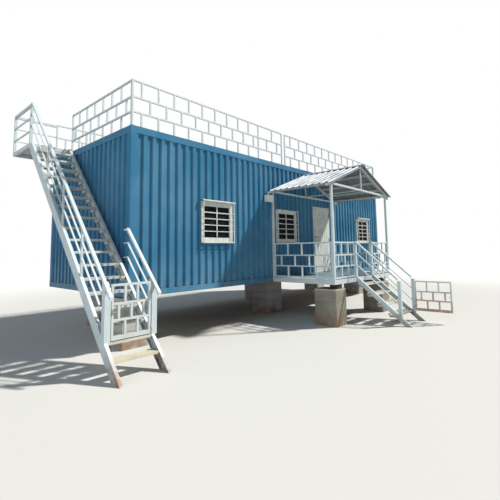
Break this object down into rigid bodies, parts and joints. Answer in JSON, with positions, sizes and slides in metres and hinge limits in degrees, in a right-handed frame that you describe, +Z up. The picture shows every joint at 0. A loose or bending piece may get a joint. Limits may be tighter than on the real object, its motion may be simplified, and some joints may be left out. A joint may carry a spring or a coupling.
{
  "type": "portable site cabin",
  "caption": "Raised site cabin with ribbed steel walls, a railed roof reached by an outside stair, a roofed porch with its own stair, and gates and a door that swing.",
  "frame": {"origin": "centre of the footprint, at the height of the ground under the pedestals", "axes": "+X runs along the cabin from the end with the roof stair to the other end, +Y from the front wall with the porch to the back wall, +Z up"},
  "size_m": [11.22, 7.152, 4.8557],
  "materials": {
    "wall_paint": "satin",
    "roof_sheet": "satin",
    "floor_board": "matte",
    "frame_steel": "satin",
    "steelwork": "satin",
    "gate_paint": "satin",
    "tread_plate": "satin",
    "canopy_sheet": "satin",
    "frame_white": "satin",
    "window_glass": "gloss",
    "grille_paint": "satin",
    "ironmongery": "satin",
    "box_plastic": "matte",
    "packing_steel": "matte",
    "concrete": "matte"
  },
  "bodies": {
    "cabin": {"back_wall": "wall_paint", "base_beams": "wall_paint", "cabin_floor": "floor_board", "canopy_centre_frame": "steelwork", "canopy_cross_ties": "steelwork", "canopy_long_beams": "steelwork", "canopy_purlins": "steelwork", "canopy_rafters": "steelwork", "canopy_ridge_cap": "canopy_sheet", "canopy_sheet_left": "canopy_sheet", "canopy_sheet_right": "canopy_sheet", "concrete_pedestals": "concrete", "corner_posts": "wall_paint", "door_hinges": "ironmongery", "door_jambs": "frame_white", "door_lintel": "frame_white", "floor_joists": "frame_steel", "front_wall_left": "wall_paint", "front_wall_over_door": "wall_paint", "front_wall_right": "wall_paint", "gate_hinges": "gate_paint", "landing_beams": "steelwork", "landing_deck": "tread_plate", "landing_guard": "steelwork", "landing_posts": "steelwork", "left_end_wall": "wall_paint", "packing_plates": "packing_steel", "porch_deck": "tread_plate", "porch_floor_beams": "steelwork", "porch_posts": "steelwork", "porch_rails": "steelwork", "porch_stair_newels": "steelwork", "porch_stair_rails": "steelwork", "porch_stair_stringers": "steelwork", "porch_stair_treads": "tread_plate", "right_end_wall": "wall_paint", "roof_panel": "roof_sheet", "roof_rail_back": "steelwork", "roof_rail_ends": "steelwork", "roof_rail_front": "steelwork", "roof_stair_newels": "steelwork", "roof_stair_rail_inner": "steelwork", "roof_stair_rail_outer": "steelwork", "roof_stair_stringers": "steelwork", "roof_stair_treads": "tread_plate", "top_rails": "wall_paint", "wall_box": "box_plastic", "window_frames": "frame_white", "window_grilles": "grille_paint", "window_hoods": "grille_paint", "window_panes": "window_glass"},
    "door": {"door_leaf": "frame_white", "door_handle": "ironmongery"},
    "roof_gate": {"roof_stair_gate": "gate_paint"},
    "porch_gate": {"porch_stair_gate": "gate_paint"}
  },
  "joints": [
    {"name": "door_hinge", "type": "hinge", "parent": "cabin", "child": "door", "pos_m": [1.962, -0.04305, 1.9], "axis": [0, 0, 1], "range_deg": [0, 90]},
    {"name": "roof_gate_hinge", "type": "hinge", "parent": "cabin", "child": "roof_gate", "pos_m": [-4.88, -0.94045, 0.9], "axis": [0, 0, 1], "range_deg": [0, 90]},
    {"name": "porch_gate_hinge", "type": "hinge", "parent": "cabin", "child": "porch_gate", "pos_m": [1.095, -2.78505, 0.6], "axis": [0, 0, 1], "range_deg": [-93, 0]}
  ]
}
